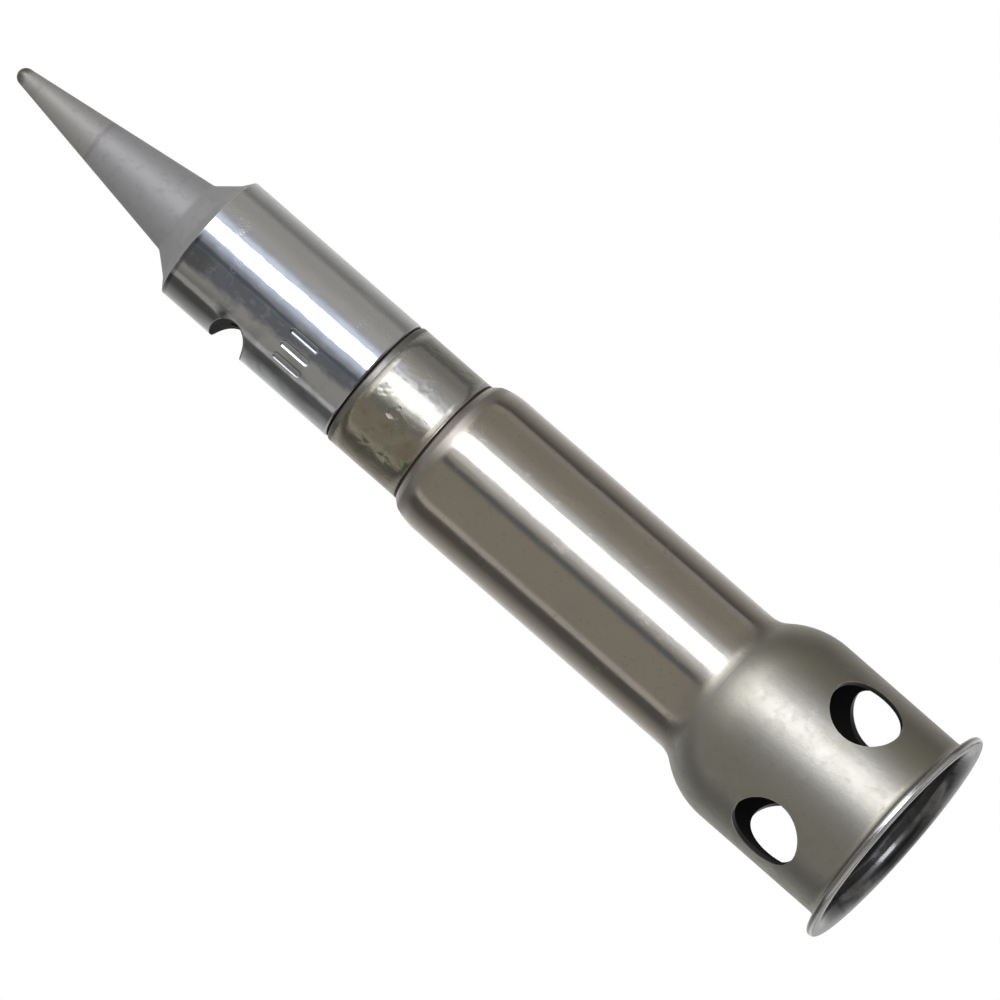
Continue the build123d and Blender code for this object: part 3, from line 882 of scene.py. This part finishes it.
long_relief = total(tree, (slow, 0.012), (drawn, 0.0012), (hairs, -0.001))
front_end = rounded_end(tree, height, NECK_TO - 0.95, NECK_TO - 0.38, 0.22)
rear_end = rounded_end(tree, height, NECK_FROM + 0.62, NECK_FROM + 0.05, 0.22)
neck_relief = total(tree, (knocks, 0.06), (dents, -1.0), (front_end, -1.0), (rear_end, 1.0))
bell_relief = times(tree, satin, 0.004, bell)
relief = total(tree, (long_relief, 1.0), (times(tree, neck_relief, neck), 1.0), (bell_relief, 1.0))
raise_surface(tree, shader, relief)
print("material:", shank_steel.name)

# %% [markdown]
# The catalyst is a porous block that glows when the iron runs and is dull grey when cold. It has
# no polish at all: a rough surface with fine grain and darker and paler patches.

# %% Material: catalyst block
CATALYST_PALE = (0.17, 0.155, 0.145, 1)
CATALYST_DARK = (0.10, 0.095, 0.09, 1)
PORE = (0.05, 0.047, 0.045, 1)

catalyst_block, tree, shader, at = new_metal("catalyst_block")
shader.inputs["Metallic"].default_value = 0.0
shader.inputs["Specular IOR Level"].default_value = 0.3
shades = use(tree, patches, point=at["Point"], size=0.8, share=0.5, softness=0.2)["Mask"]
pores = use(tree, tool_lines, point=at["Point"], around=9.0, along=9.0)["Lines"]
colour = blend(tree, shades, CATALYST_PALE, CATALYST_DARK)
colour = coat(tree, colour, fade(tree, pores, 0.55, 0.7), PORE)
connect(tree, colour, shader.inputs["Base Color"])
connect(tree, calc(tree, "ADD", times(tree, shades, 0.1), 0.75), shader.inputs["Roughness"])
raise_surface(tree, shader, times(tree, pores, 0.04))
print("material:", catalyst_block.name)

# %% [markdown]
# The gauze and its ring sit in the flame's heat. Their steel has scaled to brown grey, with a few
# bluish patches of temper colour and a rougher skin than the shank.

# %% Material: heat-darkened steel
HEATED_BROWN = (0.36, 0.30, 0.23, 1)
TEMPER_BLUE = (0.27, 0.28, 0.33, 1)
SCALE_BROWN = (0.20, 0.17, 0.14, 1)
RUBBED_THROUGH = (0.60, 0.56, 0.50, 1)

inner_steel, tree, shader, at = new_metal("inner_steel")
temper = use(tree, patches, point=at["Point"], size=0.9, share=0.4, softness=0.15)["Mask"]
scale = use(tree, patches, point=at["Point"], size=0.25, share=0.4, softness=0.12)["Mask"]
lines = use(tree, tool_lines, point=at["Point"], around=0.8, along=12.0)["Lines"]
edges = use(tree, worn_edges, point=at["Point"], width=0.06)["Mask"]
colour = blend(tree, temper, HEATED_BROWN, TEMPER_BLUE)
colour = coat(tree, colour, scale, SCALE_BROWN)
colour = coat(tree, colour, edges, RUBBED_THROUGH, 0.5)
connect(tree, colour, shader.inputs["Base Color"])
rough = calc(tree, "ADD", total(tree, (scale, 0.2), (lines, 0.08)), 0.28)
connect(tree, rough, shader.inputs["Roughness"])
raise_surface(tree, shader, total(tree, (scale, 0.006), (lines, 0.003)))
print("material:", inner_steel.name)

# %% [markdown]
# The gauze keeps the flame from striking back. Real gauze is woven: each wire goes over one
# neighbour and under the next. A rule describes it completely, so Geometry Nodes weave it. Lines
# of points are laid across a disc, stretched to the disc's width at their place, and lifted and
# lowered by one formula: the product of two cosines is +1 and -1 in turn at the crossings. The
# second set of wires is the first with its sides swapped and its height turned over.

# %% Geometry Nodes: woven gauze
GAUZE_SPACING = 0.42 * MM
WIRES_EACH_SIDE = 6
POINTS_ON_WIRE = 79
WIRE_SIDES = 8

gauze_low, gauze_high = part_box("inlet_gauze")
wire_diameter = (gauze_high.z - gauze_low.z) / 2
weave = bpy.data.node_groups.new("woven_gauze", "GeometryNodeTree")
weave.interface.new_socket(name="Geometry", in_out="OUTPUT", socket_type="NodeSocketGeometry")
for label in ("Disc Radius", "Wire Spacing", "Wire Diameter", "Middle Height"):
    weave.interface.new_socket(name=label, in_out="INPUT", socket_type="NodeSocketFloat")
weave.interface.new_socket(name="Wires Each Side", in_out="INPUT", socket_type="NodeSocketInt")
given = weave.nodes.new("NodeGroupInput").outputs

wire_radius = calc(weave, "DIVIDE", given["Wire Diameter"], 2.0)
wires_across = calc(weave, "ADD", times(weave, given["Wires Each Side"], 2.0), 1.0)
first_place = times(weave, given["Wires Each Side"], -1.0, given["Wire Spacing"])
row_start = place(weave, "ShaderNodeCombineXYZ", y=first_place).outputs[0]
row_step = place(weave, "ShaderNodeCombineXYZ", y=given["Wire Spacing"]).outputs[0]
row = weave.nodes.new("GeometryNodeMeshLine")
connect(weave, wires_across, row.inputs["Count"])
connect(weave, row_start, row.inputs["Start Location"])
connect(weave, row_step, row.inputs["Offset"])
strand = weave.nodes.new("GeometryNodeCurvePrimitiveLine")
strand.inputs["Start"].default_value = (-1, 0, 0)
strand.inputs["End"].default_value = (1, 0, 0)
divided = place(weave, "GeometryNodeResampleCurve", curve=strand.outputs["Curve"], count=POINTS_ON_WIRE)
laid = place(weave, "GeometryNodeInstanceOnPoints",
             points=row.outputs["Mesh"], instance=divided.outputs["Curve"])
strands = place(weave, "GeometryNodeRealizeInstances", geometry=laid.outputs["Instances"])
strands = strands.outputs["Geometry"]

position = weave.nodes.new("GeometryNodeInputPosition").outputs[0]
here = place(weave, "ShaderNodeSeparateXYZ", vector=position).outputs
reach = calc(weave, "SUBTRACT", given["Disc Radius"], wire_radius)
chord = calc(weave, "SUBTRACT", calc(weave, "POWER", reach, 2.0), calc(weave, "POWER", here["Y"], 2.0))
run = times(weave, here["X"], calc(weave, "SQRT", calc(weave, "MAXIMUM", chord, 0.0)))
half_turn = calc(weave, "DIVIDE", pi, given["Wire Spacing"])
wave_along = calc(weave, "COSINE", times(weave, run, half_turn))
wave_across = calc(weave, "COSINE", times(weave, here["Y"], half_turn))
lift = times(weave, wave_along, wave_across, wire_radius)
above = calc(weave, "ADD", given["Middle Height"], lift)
under = calc(weave, "SUBTRACT", given["Middle Height"], lift)
warp_place = place(weave, "ShaderNodeCombineXYZ", x=run, y=here["Y"], z=above).outputs[0]
weft_place = place(weave, "ShaderNodeCombineXYZ", x=here["Y"], y=run, z=under).outputs[0]
warp = place(weave, "GeometryNodeSetPosition", geometry=strands, position=warp_place).outputs["Geometry"]
weft = place(weave, "GeometryNodeSetPosition", geometry=strands, position=weft_place).outputs["Geometry"]
cloth = weave.nodes.new("GeometryNodeJoinGeometry")
connect(weave, warp, cloth.inputs[0])
connect(weave, weft, cloth.inputs[0])
wire_round = weave.nodes.new("GeometryNodeCurvePrimitiveCircle")
wire_round.inputs["Resolution"].default_value = WIRE_SIDES
connect(weave, wire_radius, wire_round.inputs["Radius"])
wires = weave.nodes.new("GeometryNodeCurveToMesh")
wires.inputs["Fill Caps"].default_value = True
connect(weave, cloth.outputs[0], wires.inputs["Curve"])
connect(weave, wire_round.outputs["Curve"], wires.inputs["Profile Curve"])
soft = weave.nodes.new("GeometryNodeSetShadeSmooth")
connect(weave, wires.outputs["Mesh"], soft.inputs["Geometry"])
solid = place(weave, "GeometryNodeRealizeInstances", geometry=soft.outputs["Geometry"]).outputs["Geometry"]
dressed = weave.nodes.new("GeometryNodeSetMaterial")
dressed.inputs["Material"].default_value = inner_steel
connect(weave, solid, dressed.inputs["Geometry"])
weave_end = weave.nodes.new("NodeGroupOutput")
connect(weave, dressed.outputs["Geometry"], weave_end.inputs["Geometry"])

# %% The gauze as a plain mesh
GAUZE_SIZES = {
    "Disc Radius": gauze_high.x,
    "Wire Spacing": GAUZE_SPACING,
    "Wire Diameter": wire_diameter,
    "Middle Height": (gauze_low.z + gauze_high.z) / 2,
    "Wires Each Side": WIRES_EACH_SIDE,
}
gauze = bpy.data.objects.new("woven_gauze", bpy.data.meshes.new("woven_gauze"))
bpy.context.collection.objects.link(gauze)
weaving = gauze.modifiers.new("weave", "NODES")
weaving.node_group = weave
for item in weave.interface.items_tree:
    if item.in_out == "INPUT":
        weaving[item.identifier] = GAUZE_SIZES[item.name]
state = bpy.context.evaluated_depsgraph_get()
woven = bpy.data.meshes.new_from_object(gauze.evaluated_get(state), depsgraph=state)
gauze.modifiers.remove(weaving)
gauze.data = woven
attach(gauze, "root")
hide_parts("inlet_gauze")
print("gauze woven:", len(woven.polygons), "faces, wire", round(wire_diameter / MM, 3), "mm")

# %% [markdown]
# The turned and drawn pieces come from the measured model with their shapes right, so they only
# get their finish: each material goes into the slot that the piece already has.

# %% Finishes on the model's own pieces
FINISHES = {
    "soldering_bit": plated_bit,
    "barrel_tube": shank_steel,
    "catalyst": catalyst_block,
    "inlet_gauze": inner_steel,
    "retaining_ring": inner_steel,
}
for name, piece in frame["nodes"].items():
    for slot in piece.material_slots:
        slot.material = FINISHES[name]
    print(name, "gets", FINISHES[name].name)
